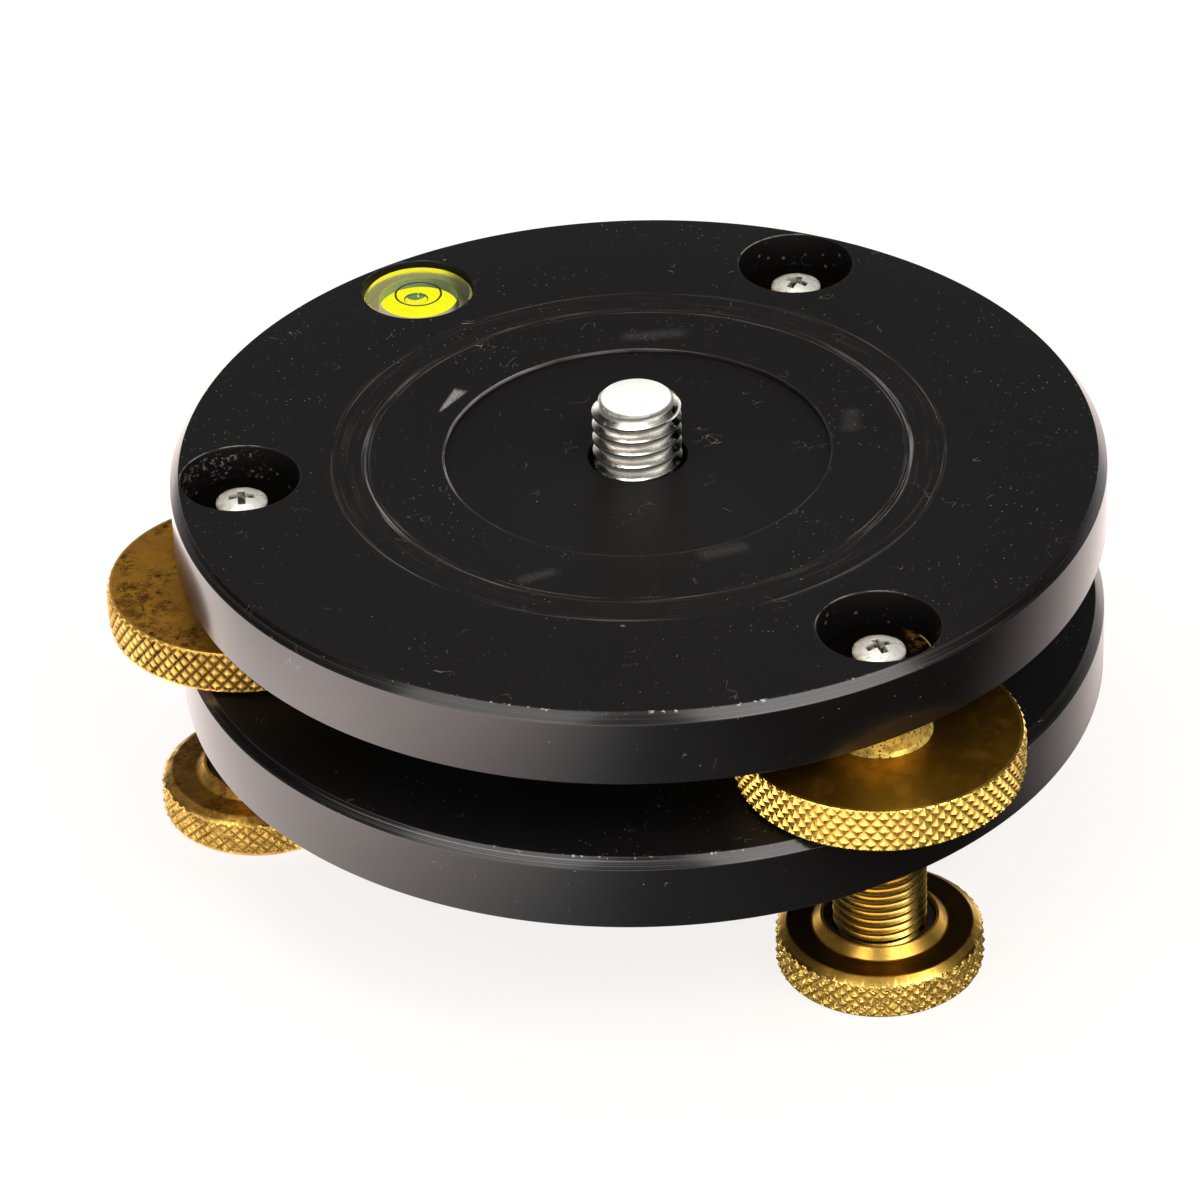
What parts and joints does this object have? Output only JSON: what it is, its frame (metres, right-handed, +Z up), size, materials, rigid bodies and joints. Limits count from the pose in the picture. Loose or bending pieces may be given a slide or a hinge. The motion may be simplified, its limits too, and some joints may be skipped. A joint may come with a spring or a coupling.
{
  "type": "tripod levelling head",
  "caption": "Round levelling head: two black plates joined by brass levelling screws with thumbwheels and lock wheels, with a camera stud and a bullseye level.",
  "frame": {"origin": "mouth of the tripod thread, in the middle of the lower plate's underside, on the head's axis", "axes": "+Z up along the camera stud; -X towards one levelling screw, the other two at 60 degrees either side of +X, the level at 120 degrees from +X towards +Y"},
  "size_m": [0.1077, 0.104, 0.0491],
  "materials": {
    "black_anodised": "satin black anodised, with scuffs",
    "brass": "turned and knurled, tarnished in places",
    "zinc_steel": "zinc plated",
    "black_acetal": "turned acetal",
    "white_nylon": "moulded nylon",
    "black_rubber": "matt",
    "clear_acrylic": "clear, polished",
    "white_plastic": "smooth",
    "level_liquid": "yellow-green liquid"
  },
  "bodies": {
    "base": {"lower_plate": "black_anodised"},
    "lift_right": {"ball_seat_right": "black_acetal"},
    "screw_right": {"levelling_screw_right": "brass", "thumbwheel_right": "brass", "retaining_cap_right": "brass", "retaining_screw_right": "zinc_steel"},
    "ring_right": {"lock_ring_right": "black_rubber"},
    "lock_right": {"lock_wheel_right": "brass"},
    "lift_rear": {"ball_seat_rear": "black_acetal"},
    "screw_rear": {"levelling_screw_rear": "brass", "thumbwheel_rear": "brass", "retaining_cap_rear": "brass", "retaining_screw_rear": "zinc_steel"},
    "ring_rear": {"lock_ring_rear": "black_rubber"},
    "lock_rear": {"lock_wheel_rear": "brass"},
    "lift_left": {"ball_seat_left": "black_acetal"},
    "screw_left": {"levelling_screw_left": "brass", "thumbwheel_left": "brass", "retaining_cap_left": "brass", "retaining_screw_left": "zinc_steel"},
    "ring_left": {"lock_ring_left": "black_rubber"},
    "lock_left": {"lock_wheel_left": "brass"},
    "tilt_frame_right": {"cushion_washer_right": "white_nylon"},
    "tilt_frame_rear": {"cushion_washer_rear": "white_nylon"},
    "top": {"upper_plate": "black_anodised", "camera_stud": "zinc_steel", "vial_body": "clear_acrylic", "vial_plug": "white_plastic", "vial_liquid": "level_liquid", "cushion_washer_left": "white_nylon"}
  },
  "joints": [
    {"name": "rise_right", "type": "slide", "parent": "base", "child": "lift_right", "axis": [0, 0, 1], "range_m": [0, 0.0045]},
    {"name": "turn_right", "type": "hinge", "parent": "lift_right", "child": "screw_right", "pos_m": [0.02123, -0.03676, 0.011], "axis": [0, 0, 1], "range_deg": [0, 1620]},
    {"name": "ring_rise_right", "type": "slide", "parent": "screw_right", "child": "ring_right", "axis": [0, 0, 1], "range_m": [0, 0.0053]},
    {"name": "lock_turn_right", "type": "hinge", "parent": "ring_right", "child": "lock_right", "pos_m": [0.02123, -0.03676, -0.013], "axis": [0, 0, 1], "range_deg": [0, 1908]},
    {"name": "rise_rear", "type": "slide", "parent": "base", "child": "lift_rear", "axis": [0, 0, 1], "range_m": [0, 0.0045]},
    {"name": "turn_rear", "type": "hinge", "parent": "lift_rear", "child": "screw_rear", "pos_m": [0.02123, 0.03676, 0.011], "axis": [0, 0, 1], "range_deg": [0, 1620]},
    {"name": "ring_rise_rear", "type": "slide", "parent": "screw_rear", "child": "ring_rear", "axis": [0, 0, 1], "range_m": [0, 0.0053]},
    {"name": "lock_turn_rear", "type": "hinge", "parent": "ring_rear", "child": "lock_rear", "pos_m": [0.02123, 0.03676, -0.013], "axis": [0, 0, 1], "range_deg": [0, 1908]},
    {"name": "rise_left", "type": "slide", "parent": "base", "child": "lift_left", "axis": [0, 0, 1], "range_m": [0, 0.0045]},
    {"name": "turn_left", "type": "hinge", "parent": "lift_left", "child": "screw_left", "pos_m": [-0.04245, 0, 0.011], "axis": [0, 0, 1], "range_deg": [0, 1620]},
    {"name": "ring_rise_left", "type": "slide", "parent": "screw_left", "child": "ring_left", "axis": [0, 0, 1], "range_m": [0, 0.0053]},
    {"name": "lock_turn_left", "type": "hinge", "parent": "ring_left", "child": "lock_left", "pos_m": [-0.04245, 0, -0.013], "axis": [0, 0, 1], "range_deg": [0, 1908]},
    {"name": "tilt_right", "type": "hinge", "parent": "base", "child": "tilt_frame_right", "pos_m": [-0.01061, 0.01838, 0.0171], "axis": [-0.866, -0.5, 0], "range_deg": [0, 4.07]},
    {"name": "tilt_rear", "type": "hinge", "parent": "tilt_frame_right", "child": "tilt_frame_rear", "pos_m": [-0.01061, -0.01838, 0.0171], "axis": [0.866, -0.5, 0], "range_deg": [0, 4.07]},
    {"name": "tilt_left", "type": "hinge", "parent": "tilt_frame_rear", "child": "top", "pos_m": [0.02123, 0, 0.0171], "axis": [0, 1, 0], "range_deg": [0, 4.07]}
  ],
  "couplings": [
    {"joint": "rise_right", "follows": "turn_right", "m_per_rad": 0.00015915},
    {"joint": "ring_rise_right", "follows": "lock_turn_right", "m_per_rad": 0.00015915},
    {"joint": "rise_rear", "follows": "turn_rear", "m_per_rad": 0.00015915},
    {"joint": "ring_rise_rear", "follows": "lock_turn_rear", "m_per_rad": 0.00015915},
    {"joint": "rise_left", "follows": "turn_left", "m_per_rad": 0.00015915},
    {"joint": "ring_rise_left", "follows": "lock_turn_left", "m_per_rad": 0.00015915},
    {"joint": "tilt_right", "follows": "turn_right", "ratio": 0.0024995},
    {"joint": "tilt_rear", "follows": "turn_rear", "ratio": 0.0024995},
    {"joint": "tilt_left", "follows": "turn_left", "ratio": 0.0024995}
  ]
}
